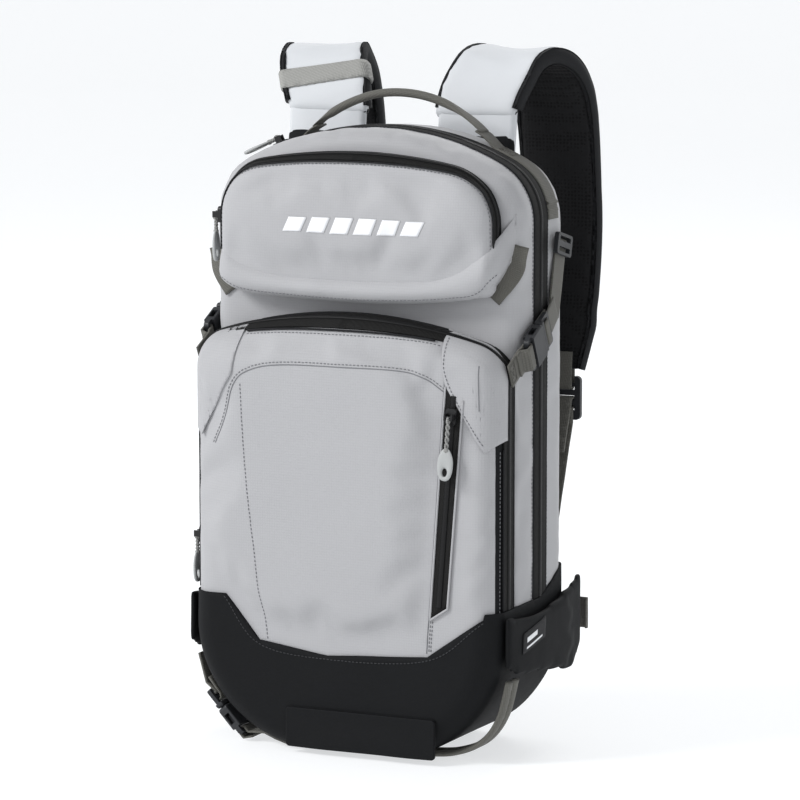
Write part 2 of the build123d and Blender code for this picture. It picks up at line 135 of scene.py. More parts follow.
def grid_lines(nt, pitch, width):
    """1 on the lines of a woven grid that faces every way, in the piece's own coordinates."""
    co = add(nt, "ShaderNodeTexCoord").outputs["Object"]
    p = add(nt, "ShaderNodeSeparateXYZ", Vector=co).outputs
    g = add(nt, "ShaderNodeNewGeometry")
    nrm = add(nt, "ShaderNodeSeparateXYZ", Vector=g.outputs["Normal"]).outputs
    total = None
    for i in range(3):
        f = op(nt, "FRACT", op(nt, "DIVIDE", p[i], pitch))
        f = op(nt, "LESS_THAN", op(nt, "ABSOLUTE", op(nt, "SUBTRACT", f, 0.5)), width / 2)
        facing = op(nt, "MULTIPLY", nrm[i], nrm[i])
        keep = op(nt, "LESS_THAN", facing, 0.5)
        f = op(nt, "MULTIPLY", f, keep)
        total = f if total is None else op(nt, "MAXIMUM", total, f)
    return total, co


def woven(name, color, dark, pitch=0.0021, rough=0.62, lines=0.16, strength=0.25, sheen=0.1, spec=0.3):
    """Pack cloth: grid threads every pitch, fine weave, faint blots and soft creases."""
    m, nt, b = shader(name, color, rough, sheen=sheen, spec=spec)
    line, co = grid_lines(nt, pitch, 0.2)
    blot = add(nt, "ShaderNodeTexNoise", Vector=co, Scale=9.0, Detail=3.0).outputs["Fac"]
    fine = add(nt, "ShaderNodeTexNoise", Vector=co, Scale=1400.0, Detail=1.0).outputs["Fac"]
    shade = op(nt, "MULTIPLY", line, lines)
    shade = op(nt, "ADD", shade, centred(nt, fine, 0.35))
    shade = op(nt, "ADD", shade, centred(nt, blot, 0.18))
    nt.links.new(mix_color(nt, clamp01(nt, shade), color, dark), b.inputs["Base Color"])
    crease = add(nt, "ShaderNodeTexNoise", Vector=co, Scale=42.0, Detail=4.0).outputs["Fac"]
    n1 = bump(nt, b, crease, 0.28, 0.0016)
    h = op(nt, "ADD", op(nt, "MULTIPLY", line, 0.8), fine)
    bump(nt, b, h, strength, 0.00018, n1)
    return m


def ribbed(name, color, dark, rough=0.7, pitch=0.0013, sheen=0.1, spec=0.3):
    """Webbing: cross ribs along v and a herringbone of warp ends along u, from a UV map in metres."""
    m, nt, b = shader(name, color, rough, sheen=sheen, spec=spec)
    uv = add(nt, "ShaderNodeTexCoord").outputs["UV"]
    p = add(nt, "ShaderNodeSeparateXYZ", Vector=uv).outputs
    rib = op(nt, "SINE", op(nt, "MULTIPLY", p[1], 2 * math.pi / pitch))
    warp = op(nt, "SINE", op(nt, "MULTIPLY", op(nt, "ADD", p[0], op(nt, "MULTIPLY", p[1], 0.35)),
                             2 * math.pi / 0.0021))
    h = op(nt, "ADD", op(nt, "MULTIPLY", rib, 0.6), op(nt, "MULTIPLY", warp, 0.4))
    fuzz = add(nt, "ShaderNodeTexNoise", Vector=uv, Scale=2500.0).outputs["Fac"]
    t = op(nt, "ADD", op(nt, "MULTIPLY", h, -0.28), op(nt, "MULTIPLY", fuzz, 0.6))
    nt.links.new(mix_color(nt, clamp01(nt, t), color, dark), b.inputs["Base Color"])
    bump(nt, b, h, 0.55, 0.00035)
    return m


def netting(name, color, rough=0.75):
    """Air mesh: small round holes in a staggered net."""
    m, nt, b = shader(name, color, rough, sheen=0.04, spec=0.2)
    co = add(nt, "ShaderNodeTexCoord").outputs["Object"]
    v = add(nt, "ShaderNodeTexVoronoi", Vector=co, Scale=330.0, Randomness=0.25)
    d = v.outputs["Distance"]
    hole = op(nt, "LESS_THAN", d, 0.33)
    nt.links.new(mix_color(nt, hole, color, tuple(c * 0.25 for c in color)), b.inputs["Base Color"])
    bump(nt, b, d, 0.7, 0.0009)
    return m


def moulded(name, color, rough, scale=1600.0, spec=0.45, metallic=0.0):
    """Plastic, enamel, print or thread: a fine grain and worn patches."""
    m, nt, b = shader(name, color, rough, spec=spec, metallic=metallic)
    co = add(nt, "ShaderNodeTexCoord").outputs["Object"]
    n = add(nt, "ShaderNodeTexNoise", Vector=co, Scale=scale, Detail=2.0).outputs["Fac"]
    wear = add(nt, "ShaderNodeTexNoise", Vector=co, Scale=60.0, Detail=3.0).outputs["Fac"]
    nt.links.new(op(nt, "ADD", op(nt, "MULTIPLY", wear, 0.18), rough - 0.09), b.inputs["Roughness"])
    bump(nt, b, n, 0.4, 0.00006)
    return m


GREY = woven("grey_ripstop", (0.372, 0.372, 0.384), (0.262, 0.263, 0.276), strength=0.4)
GREY_PLAIN = woven("grey_packcloth", (0.385, 0.386, 0.398), (0.285, 0.287, 0.299), pitch=0.0009, lines=0.08)
# the shell's grey cloth made lighter for the shoulder straps' faces: painted top light on the straps
GREY_STRAP_PAINTED_TOP_LIGHT = woven("grey_strap_painted_top_light", (0.570, 0.586, 0.608), (0.450, 0.464, 0.486), pitch=0.0009, lines=0.08)
BLACK = woven("black_packcloth", (0.0075, 0.0080, 0.0090), (0.0032, 0.0034, 0.0040), pitch=0.0011, lines=0.5,
              rough=0.70, sheen=0.0, strength=0.35, spec=0.12)
BINDING = woven("black_binding", (0.0120, 0.0125, 0.0140), (0.0060, 0.0060, 0.0065), pitch=0.0008, rough=0.75,
                sheen=0.0, spec=0.2)
MESH = netting("black_air_mesh", (0.0085, 0.0085, 0.0095))
TAPE_M = ribbed("zip_tape", (0.0090, 0.0088, 0.0085), (0.0035, 0.0035, 0.0038), pitch=0.0009,
                sheen=0.0, spec=0.2)
COIL = moulded("zip_coil", (0.0070, 0.0070, 0.0075), 0.5, spec=0.2)
WEB = ribbed("warm_grey_webbing", (0.122, 0.119, 0.106), (0.066, 0.064, 0.056), sheen=0.05)
WEB_LIGHT = ribbed("keeper_webbing", (0.330, 0.330, 0.315), (0.200, 0.200, 0.190), sheen=0.05)
PLASTIC = moulded("buckle_acetal", (0.0200, 0.0212, 0.0240), 0.46, spec=0.35)
ZINC = moulded("slider_enamel", (0.012, 0.012, 0.013), 0.35, metallic=0.3)
PULL = moulded("pull_rubber", (0.36, 0.37, 0.37), 0.5, scale=900.0)
CORD = ribbed("pull_cord", (0.34, 0.34, 0.33), (0.08, 0.08, 0.08), pitch=0.0016)
THREAD = moulded("grey_thread", (0.165, 0.168, 0.178), 0.7)
THREAD_B = moulded("black_thread", (0.024, 0.025, 0.028), 0.7)
THREAD_T = moulded("tan_thread", (0.075, 0.072, 0.064), 0.7)
PRINT = moulded("white_print", (0.74, 0.75, 0.77), 0.5)
LABEL = ribbed("label_satin", (0.018, 0.018, 0.020), (0.010, 0.010, 0.011), pitch=0.0006, sheen=0.0)


# ---------------------------------------------------------------- building blocks
def V(p):
    return Vector(p)


def axis_of(joint):
    return V(JOINT[joint]["axis"]).normalized()


X, Y, Z = V((1, 0, 0)), V((0, 1, 0)), V((0, 0, 1))


def placed(name, data):
    """A new object of data, linked into the scene."""
    o = bpy.data.objects.new(name, data)
    bpy.context.scene.collection.objects.link(o)
    return o


def grid(nu, nv):
    """Faces of nv rows of nu points."""
    corners = [j * nu + i for j in range(nv - 1) for i in range(nu - 1)]
    return [(a, a + 1, a + nu + 1, a + nu) for a in corners]


def thicken(o, thick):
    md = o.modifiers.new("thick", "SOLIDIFY")
    md.thickness, md.offset = thick, 1.0
    return o


def make(name, verts, faces, mat, body, uvs=None):
    """A smooth-shaded mesh that rides on body, or on nothing when body is None."""
    me = bpy.data.meshes.new(name)
    me.from_pydata([tuple(v) for v in verts], [], [tuple(f) for f in faces])
    me.validate()
    if uvs is not None:
        layer = me.uv_layers.new(name="UVMap")
        for loop in me.loops:
            layer.data[loop.index].uv = uvs[loop.vertex_index]
    me.polygons.foreach_set("use_smooth", [True] * len(me.polygons))
    o = placed(name, me)
    me.materials.append(mat)
    if body:
        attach(o, body)
    return o


def catmull(pts, step):
    """A smooth run through pts with points about step apart."""
    pts = [V(p) for p in pts]
    ext = [pts[0] * 2 - pts[1], *pts, pts[-1] * 2 - pts[-2]]
    out = []
    for i in range(len(pts) - 1):
        a, b, c, d = ext[i:i + 4]
        n = max(1, math.ceil((c - b).length / step))
        for k in range(n):
            t = k / n
            out.append(0.5 * (2 * b + (c - a) * t + (2 * a - 5 * b + 4 * c - d) * t * t
                              + (3 * b - a - 3 * c + d) * t ** 3))
    return out + [pts[-1]]


def line_pts(pts, step):
    out = []
    pts = [V(p) for p in pts]
    for a, b in zip(pts, pts[1:]):
        n = max(1, math.ceil((b - a).length / step))
        out += [a.lerp(b, k / n) for k in range(n)]
    return out + [pts[-1]]


def tangents(pts):
    return [(pts[min(i + 1, len(pts) - 1)] - pts[max(i - 1, 0)]).normalized() for i in range(len(pts))]


def sweep(name, pts, sides, section, mat, body, caps=True, scale=None, wobble=0.0):
    """A tube along pts. section is a closed ring of (across, up) in metres.

    sides is the across direction, one for all points or one for each.
    """
    tan = tangents(pts)
    if not isinstance(sides, list):
        sides = [sides] * len(pts)
    n, verts, uvs, faces, run = len(section), [], [], [], 0.0
    ring = [0.0]
    for a, b in zip(section, section[1:]):
        ring.append(ring[-1] + math.hypot(b[0] - a[0], b[1] - a[1]))
    for i, p in enumerate(pts):
        if i:
            run += (p - pts[i - 1]).length
        t = tan[i]
        s = V(sides[i])
        s = (s - t * s.dot(t)).normalized()
        up = t.cross(s)
        k = scale[i] if scale else (1, 1)
        w = wobble * noise.noise(V((run * 35, ring[-1] * 90, 3.1))) if wobble else 0
        for j, (a, u) in enumerate(section):
            verts.append(p + s * a * k[0] + up * (u * k[1] + w))
            uvs.append((ring[j], run))
    for i in range(len(pts) - 1):
        for j in range(n):
            faces.append((i * n + j, i * n + (j + 1) % n, (i + 1) * n + (j + 1) % n, (i + 1) * n + j))
    if caps:
        faces += [tuple(range(n))[::-1], tuple((len(pts) - 1) * n + j for j in range(n))]
    return make(name, verts, faces, mat, body, uvs)


def flat_section(width, thick, crown=0.0):
    """Section of a flat strap with rounded selvedges."""
    w, t = width / 2, thick / 2
    e = min(t, w) * 0.95
    top = [(w, 0), (w - e * 0.35, t * 0.75), (w - e, t), (w * 0.5, t + crown * 0.7), (0, t + crown)]
    top += [(-a, b) for a, b in reversed(top[:-1])]
    return top + [(-a, -b if abs(b) <= t else -t) for a, b in top[1:-1]]


def round_section(r, n=12, flat=1.0):
    return [(r * math.cos(2 * math.pi * k / n), r * flat * math.sin(2 * math.pi * k / n)) for k in range(n)]


def ribbon(name, pts, side, width, thick, body="pack", step=0.002):
    return sweep(name, catmull(pts, step), side, flat_section(width, thick), WEB, body)


def joined(name, meshes, mat, body):
    """One mesh of many (verts, faces) lumps."""
    verts, faces = [], []
    for v, f in meshes:
        k = len(verts)
        verts += v
        faces += [tuple(i + k for i in q) for q in f]
    return make(name, verts, faces, mat, body)


def lump(c, x, y, z, a, b, h, n=6):
    """A small pill: half sizes a, b, h along x, y, z."""
    verts, faces = [], []
    rings = ((-1.0, 0.45), (-0.6, 1.0), (0.6, 1.0), (1.0, 0.45))
    for t, r in rings:
        for k in range(n):
            g = 2 * math.pi * (k + 0.5) / n
            verts.append(c + x * (a * t) + y * (b * r * math.cos(g)) + z * (h * r * math.sin(g)))
    for i in range(len(rings) - 1):
        for k in range(n):
            faces.append((i * n + k, i * n + (k + 1) % n, (i + 1) * n + (k + 1) % n, (i + 1) * n + k))
    faces += [tuple(range(n))[::-1], tuple(3 * n + k for k in range(n))]
    return verts, faces


def stitches(name, pts, normals, mat=THREAD, body="pack", pitch=0.0032, length=0.0021, r=0.00032, sink=0.3):
    """A run of thread stitches on a surface, and nothing else between them."""
    out, run, nxt = [], 0.0, 0.0
    for i in range(len(pts) - 1):
        a, b = pts[i], pts[i + 1]
        d = (b - a).length
        while d > 1e-7 and nxt <= run + d:
            f = (nxt - run) / d
            c = a.lerp(b, f)
            nn = normals[i].lerp(normals[i + 1], f).normalized()
            x = (b - a).normalized()
            y = nn.cross(x)
            jit = (rng.random() - 0.5) * 0.0002
            out.append(lump(c + nn * r * (1 - sink) + y * jit, x, y, nn, length / 2, r * 1.35, r, 5))
            nxt += pitch
        run += d
    return joined(name, out, mat, body) if out else None


# ---------------------------------------------------------------- outlines of the body
def arch_run(half, crown, radius, corner, grow, low, step):
    """Points (x, z) and outward normals from low on the right, over the crown, to the left."""
    zc = crown - radius
    cx = half - corner
    cz = zc + math.sqrt((radius - corner) ** 2 - cx ** 2)
    th = math.atan2(cz - zc, cx)
    turn = [(cx, cz, corner, th * k / n) for n in (max(3, math.ceil(corner * th / step)),) for k in range(n)]
    n = max(2, math.ceil((cz - low) / step))
    rise_ = [((half + grow, low + (cz - low) * k / n), (1, 0)) for k in range(n)]

    def bend(x, z, r, a):
        out = (math.cos(a), math.sin(a))
        return (x + (r + grow) * out[0], z + (r + grow) * out[1]), out

    right = rise_ + [bend(*q) for q in turn]
    n = max(6, math.ceil(radius * (math.pi - 2 * th) / step))
    top = [bend(0, zc, radius, th + (math.pi - 2 * th) * k / n) for k in range(n + 1)]
    return right + top + [((-p[0], p[1]), (-q[0], q[1])) for p, q in reversed(right)]


lo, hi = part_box("rear_compartment")
MAIN = (hi.x, hi.z, 0.229, 0.050)
lo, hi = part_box("front_pocket")
POCKET = (hi.x, hi.z, 0.351, 0.030)
FACE_Y = lo.y
lo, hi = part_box("goggle_pocket")
GOGGLE = (hi.x, hi.z, 0.420, 0.046)
GOGGLE_Y = lo.y


# ---------------------------------------------------------------- cloth bodies
def outer_shell(node):
    """The outside of a hollow CAD node, as a bmesh."""
    bm = bmesh.new()
    bm.from_mesh(NODE[node].data)
    bmesh.ops.remove_doubles(bm, verts=bm.verts, dist=1e-5)
    seen, groups = set(), []
    for v in bm.verts:
        if v in seen:
            continue
        stack, group = [v], []
        seen.add(v)
        while stack:
            q = stack.pop()
            group.append(q)
            for e in q.link_edges:
                w = e.other_vert(q)
                if w not in seen:
                    seen.add(w)
                    stack.append(w)
        groups.append(group)

    def extent(g):
        co = np.array([v.co for v in g])
        return np.prod(co.max(0) - co.min(0))

    groups.sort(key=extent)
    for g in groups[:-1]:
        bmesh.ops.delete(bm, geom=g, context="VERTS")
    return bm


FRAMES = 20         # length of each cloth simulation
FRONT_Y = -0.125    # a plane in front of the whole pack


def soften(name, node, voxel, pinned, cap, mat, pressure=4.0, shape=None, body="pack",
           cut=None):
    """Cloth blown up a little from a CAD solid. pinned(co) is 1 where a seam holds it.

    cap is the most a point may move. cut is (point, normal): what lies past it is left off.
    """
    bm = outer_shell(node)
    if cut:
        got = bmesh.ops.bisect_plane(bm, geom=bm.verts[:] + bm.edges[:] + bm.faces[:], plane_co=cut[0],
                                     plane_no=cut[1], clear_outer=True)
        rim = [e for e in got["geom_cut"] if isinstance(e, bmesh.types.BMEdge)]
        bmesh.ops.triangle_fill(bm, edges=rim, use_beauty=True)
    me = bpy.data.meshes.new(name)
    bm.to_mesh(me)
    bm.free()
    o = placed(name, me)
    bpy.context.view_layer.objects.active = o
    md = o.modifiers.new("remesh", "REMESH")
    md.mode, md.voxel_size, md.use_smooth_shade = "VOXEL", voxel, True
    dg = bpy.context.evaluated_depsgraph_get()
    flat = bpy.data.meshes.new_from_object(o.evaluated_get(dg))
    o.modifiers.clear()
    o.data = flat
    n = len(flat.vertices)
    rest = np.zeros(n * 3, np.float32)
    flat.vertices.foreach_get("co", rest)
    rest = rest.reshape(-1, 3).astype(float)
    hold = np.array([pinned(p) for p in rest])
    now = rest.copy()
    vg = o.vertex_groups.new(name="pin")
    for i, h in enumerate(hold):
        vg.add([i], float(h), "REPLACE")
    cl = o.modifiers.new("cloth", "CLOTH")
    st = cl.settings
    st.quality, st.mass = 5, 0.3
    st.tension_stiffness = st.compression_stiffness = 12
    st.bending_stiffness = 1.5
    st.use_pressure, st.uniform_pressure_force = True, pressure
    st.vertex_group_mass = "pin"
    st.shrink_min = -0.035
    st.effector_weights.gravity = 0
    cl.collision_settings.use_collision = False
    cl.point_cache.frame_start, cl.point_cache.frame_end = 1, FRAMES
    sc = bpy.context.scene
    for f in range(1, FRAMES + 1):
        sc.frame_set(f)
    dg = bpy.context.evaluated_depsgraph_get()
    ev = o.evaluated_get(dg).to_mesh()
    co = np.zeros(n * 3, np.float32)
    ev.vertices.foreach_get("co", co)
    now = co.reshape(-1, 3).astype(float)
    o.modifiers.clear()
    o.vertex_groups.clear()
    sc.frame_set(1)
    move = now - rest
    size_ = np.linalg.norm(move, axis=1, keepdims=True)
    move *= np.minimum(1.0, cap / np.maximum(size_, 1e-9))
    move *= (1 - hold)[:, None]
    co = rest + move
    if shape:
        co = co + shape(rest, 1 - hold)
    o.data.vertices.foreach_set("co", co.astype(np.float32).ravel())
    bm = bmesh.new()
    bm.from_mesh(o.data)
    for _ in range(3):
        bmesh.ops.smooth_vert(bm, verts=bm.verts, factor=0.5, use_axis_x=True, use_axis_y=True,
                              use_axis_z=True)
    bmesh.ops.subdivide_edges(bm, edges=bm.edges, cuts=1, use_grid_fill=True, smooth=0.6)
    bm.to_mesh(o.data)
    bm.free()
    o.data.polygons.foreach_set("use_smooth", [True] * len(o.data.polygons))
    o.data.materials.clear()
    o.data.materials.append(mat)
    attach(o, body)
    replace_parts(o, node)
    return o


def smooth01(a, b, x):
    t = np.clip((x - a) / (b - a), 0, 1)
    return t * t * (3 - 2 * t)


def near(v, a, b, soft_=0.006):
    """1 between a and b, falling to 0 over soft_ outside."""
    return max(0.0, 1 - max(a - v, v - b, 0.0) / soft_)


def folds(co, free, amp, scale, axis, seed):
    """Soft creases of a hanging panel, along axis, in metres."""
    out = np.zeros_like(co)
    for i, p in enumerate(co):
        if free[i] > 0.05:
            q = V(p * scale) + V((seed, seed * 0.7, 0))
            out[i, axis] = amp * free[i] * (noise.noise(q) + 0.5 * noise.noise(q * 2.3))
    return out


def pin_rear(p):
    return max(near(p[1], -1, 0.020), near(p[1], 0.050, 1), near(p[2], -1, 0.120),
               near(p[1], 0.0, 0.040, 0.004) if p[2] > 0.42 else 0)


def pin_main(p):
    lower = near(p[2], -1, 0.120)
    belt = near(p[1], -0.009, 1, 0.005)
    seam = near(p[1], -1, -0.040, 0.004)
    return max(lower, belt, seam)


SCOOP = [(-0.132, 0.150), (-0.101, 0.123), (-0.071, 0.088), (-0.011, 0.080), (0.076, 0.086), (0.123, 0.119),
         (0.132, 0.150)]      # upper edge of the boot on the front face, (x, z)


def scoop_z(x):
    return float(np.interp(x, [q[0] for q in SCOOP], [q[1] for q in SCOOP]))


def pin_pocket(p):
    strip = 0.0
    if p[1] < FACE_Y + 0.01:
        t = (p[2] - 0.122) / 0.174
        strip = near(p[0] - (0.086 + 0.013 * t), -0.009, 0.010, 0.012) * near(p[2], 0.11, 0.30, 0.01)
    return max(near(p[1], -0.068, 1, 0.010), near(p[2], 0.338, 1, 0.008), strip * 0.9,
               near(p[2], -1, scoop_z(p[0]) + 0.002, 0.022))


def pin_goggle(p):
    return max(near(p[1], -0.053, 1, 0.006), near(p[2], -1, 0.376, 0.012), near(p[2], 0.464, 1, 0.008))


rear = soften("rear_cloth", "rear_compartment", 0.005, pin_rear, 0.0035, GREY_PLAIN, 5.0,
              shape=lambda c, f: folds(c, f, 0.0009, 14, 0, 1.3))
main = soften("main_cloth", "main_compartment", 0.005, pin_main, 0.0040, GREY, 5.0,
              shape=lambda c, f: folds(c, f, 0.0010, 17, 0, 5.1))
pocket = soften("pocket_cloth", "front_pocket", 0.005, pin_pocket, 0.0085, GREY, 4.0,
                shape=lambda c, f: folds(c, f, 0.0012, 11, 1, 9.2))
goggle = soften("goggle_cloth", "goggle_pocket", 0.0045, pin_goggle, 0.0060, GREY, 4.0,
                shape=lambda c, f: folds(c, f, 0.0009, 15, 1, 2.2))


# ---------------------------------------------------------------- coverings that follow the cloth
def tree(o):
    return BVHTree.FromPolygons([v.co.copy() for v in o.data.vertices],
                                [p.vertices[:] for p in o.data.polygons])


CLOTH = {"front_pocket": pocket, "goggle_pocket": goggle, "main_compartment": main, "rear_compartment": rear}
SOLID_TREE = {n: tree(NODE[n]) for n in CLOTH}
CLOTH_TREE = {n: tree(o) for n, o in CLOTH.items()}


def rise(p, nodes, reach=0.02):
    """How far the cloth under p stands off its CAD solid, as a vector."""
    best = None
    for n in nodes:
        q, normal, _, d = SOLID_TREE[n].find_nearest(p)
        if best is None or d < best[0]:
            best = (d, n, q, normal)
    _, n, q, normal = best
    out = (p - q).normalized() if (p - q).length > 1e-6 else normal
    hit = CLOTH_TREE[n].ray_cast(q + out * reach, -out, reach * 1.6)[0]
    return out * max(0.0, (hit - q).dot(out)) if hit else Vector()


def copy_of(name, node, mat, body="pack", longest=0.006, move=None, uv=None, crease=38.0):
    """A CAD node's own surface cut into even triangles, so that it can crease and follow what it lies on."""
    bm = bmesh.new()
    bm.from_mesh(NODE[node].data)
    bmesh.ops.remove_doubles(bm, verts=bm.verts, dist=1e-5)
    bmesh.ops.triangulate(bm, faces=bm.faces)
    for _ in range(8):
        long_ones = [e for e in bm.edges if e.calc_length() > longest]
        if not long_ones:
            break
        bmesh.ops.subdivide_edges(bm, edges=long_ones, cuts=1)
        bmesh.ops.triangulate(bm, faces=[f for f in bm.faces if len(f.verts) > 3])
    bm.normal_update()
    if move:
        shifts = [move(v.co.copy(), v.normal.copy()) for v in bm.verts]
        for v, d in zip(bm.verts, shifts):
            v.co += d
    me = bpy.data.meshes.new(name)
    bm.to_mesh(me)
    bm.free()
    if uv:
        layer = me.uv_layers.new(name="UVMap")
        for loop in me.loops:
            layer.data[loop.index].uv = uv(me.vertices[loop.vertex_index].co)
    me.materials.append(mat)
    me.polygons.foreach_set("use_smooth", [True] * len(me.polygons))
    me.set_sharp_from_angle(angle=math.radians(crease))
    o = placed(name, me)
    if body:
        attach(o, body)
    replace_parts(o, node)
    return o


def ripple(p, normal, amp, scale):
    return normal * (amp * (0.5 + noise.noise(p * scale)))


def lap_move(p, normal):
    """Wing flaps follow the pocket's cloth and lie a little deeper than in the CAD."""
    inward_ = SOLID_TREE["front_pocket"].find_nearest(p)[1] * -0.0014
    return rise(p, ("front_pocket",)) + ripple(p, normal, 0.0002, 40) + inward_


pocket.data.materials.append(BLACK)
for q in pocket.data.polygons:
    c = q.center
    if abs(c.x) > 0.112 and -0.0735 < c.y and 0.10 < c.z < 0.315:
        q.material_index = 1


def boot_move(p, normal):
    lift = rise(p, ("front_pocket", "main_compartment", "rear_compartment"))
    top = smooth01(0.110, 0.123, p.z) * smooth01(0.0, 0.055, p.y)
    clear = float(smooth01(0.0, 0.010, p.z))
    return lift + ripple(p, normal, 0.0006, 22) * clear + V((0, 0, 0.020 * float(top)))


boot = copy_of("boot_cloth", "base_boot", BLACK, move=boot_move)
copy_of("base_flap_cloth", "base_flap", BLACK, longest=0.005,
        move=lambda p, n: V((0, -0.0022 * (1 - float(smooth01(0.004, 0.034, p.z)))
                             * (0.6 + noise.noise(p * 30)), 0)))
LAPS = {}
for hand in ("left", "right"):
    lap = copy_of(f"wing_flap_cloth_{hand}", f"wing_flap_{hand}", GREY, longest=0.004,
                  move=lap_move)
    LAPS[hand] = tree(lap)

BAND_UPPER = [(-0.1240, 0.4080), (-0.1060, 0.3910), (-0.0800, 0.3815), (-0.0500, 0.3775), (0.0, 0.3765),
              (0.0550, 0.3785), (0.0850, 0.3850), (0.1080, 0.3990), (0.1200, 0.4140), (0.1290, 0.4320)]
BAND_LOWER = [(-0.1260, 0.3860), (-0.1170, 0.3720), (-0.0980, 0.3635), (-0.0600, 0.3605), (0.0, 0.3590),
              (0.0500, 0.3605), (0.0900, 0.3645), (0.1080, 0.3690), (0.1210, 0.3830), (0.1300, 0.4080)]


def even(pts, count):
    """count points at equal steps along a smooth line through (x, z) points."""
    line = catmull([(x, 0, z) for x, z in pts], 0.001)
    run_ = np.concatenate([[0], np.cumsum([(b - a).length for a, b in zip(line, line[1:])])])
    at = np.linspace(0, run_[-1], count)
    return np.stack([np.interp(at, run_, [q[i] for q in line]) for i in (0, 2)], axis=1)


def front_hit(x, z):
    """Depth of the first cloth met from the front."""
    found = [CLOTH_TREE[n].ray_cast(V((x, FRONT_Y, z)), Y)[0] for n in ("goggle_pocket", "main_compartment")]
    return min([q.y for q in found if q] or [-0.040])


def taut_band():
    """The tuck under the goggle pocket: cloth drawn tight over the pocket's corners, closed at the back."""
    nu, nv, back, passes = 110, 13, -0.036, 1500
    upper, lower = even(BAND_UPPER, nu), even(BAND_LOWER, nu)
    under = np.array([front_hit(*(upper[i] * 0.8 + lower[i] * 0.2)) for i in range(nu)])
    tight = under.copy()
    for _ in range(passes):
        tight[1:-1] = np.minimum(under[1:-1], (tight[:-2] + tight[2:]) / 2)
    swell = [(0.0, 0.0045), (0.08, 0.0010), (0.2, -0.0020), (0.5, -0.0040), (0.8, -0.0026), (1.0, 0.0006)]
    verts, uvs, faces = [], [], []
    for depth in (0, 1):
        for i in range(nu):
            ends = min(1.0, i / 9, (nu - 1 - i) / 9)
            for j in range(nv):
                v = 0.5 - 0.5 * math.cos(math.pi * j / (nv - 1))
                x, z = lower[i] * (1 - v) + upper[i] * v
                y = tight[i] + float(np.interp(v, *zip(*swell))) * (0.35 + 0.65 * ends)
                y += 0.0007 * noise.noise(V((x * 34, z * 60, 4.4)))
                verts.append(V((x, back if depth else y, z)))
                uvs.append((x, z))
    for i in range(nu - 1):
        for j in range(nv - 1):
            a = i * nv + j
            faces.append((a, a + nv, a + nv + 1, a + 1))
            b = a + nu * nv
            faces.append((b, b + 1, b + nv + 1, b + nv))
    rim = [i * nv for i in range(nu)] + [(nu - 1) * nv + j for j in range(1, nv)]
    rim += [i * nv + nv - 1 for i in range(nu - 2, -1, -1)] + [j for j in range(nv - 2, 0, -1)]
    for a, b in zip(rim, rim[1:] + rim[:1]):
        faces.append((b, a, a + nu * nv, b + nu * nv))
    return make("goggle_band_tuck", verts, faces, GREY, "pack", uvs)


band = taut_band()
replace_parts(band, "goggle_band")


# ---------------------------------------------------------------- padded straps, wings and back panel
STRAP_CENTRE = V((0, 0.108, 0.470))      # the straps bend over the shoulder round this axis


def strap_slices(node):
    """(edge at low x, edge at high x) down the length of a shoulder strap, read from its CAD solid."""
    centre = STRAP_CENTRE
    planes = [((0, math.cos(math.radians(a)), math.sin(math.radians(a))), None) for a in range(134, 0, -9)]
    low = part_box(node)[0].z + 0.016
    planes += [((0, 1, 0), centre.z - (centre.z - low) * k / 15) for k in range(16)]
    edges = []
    for way, z in planes:
        bm = bmesh.new()
        bm.from_mesh(NODE[node].data)
        way = V(way)
        at = centre if z is None else V((0, centre.y, z))
        cut = bmesh.ops.bisect_plane(bm, geom=bm.verts[:] + bm.edges[:] + bm.faces[:], plane_co=at,
                                     plane_no=X.cross(way))["geom_cut"]
        pts = [v.co.copy() for v in cut if isinstance(v, bmesh.types.BMVert) and (v.co - at).dot(way) > 0]
        bm.free()
        if len(pts) < 4:
            continue
        x0, x1 = min(q.x for q in pts), max(q.x for q in pts)
        ends = []
        for x in (x0, x1):
            side = [q for q in pts if abs(q.x - x) < 0.003]
            mid = sum(side, Vector()) / len(side)
            ends.append(V((x, mid.y, mid.z)))
        edges.append(ends)
    return edges


def inward(p):
    return V((0, STRAP_CENTRE.y - p.y, min(p.z, STRAP_CENTRE.z) - p.z))


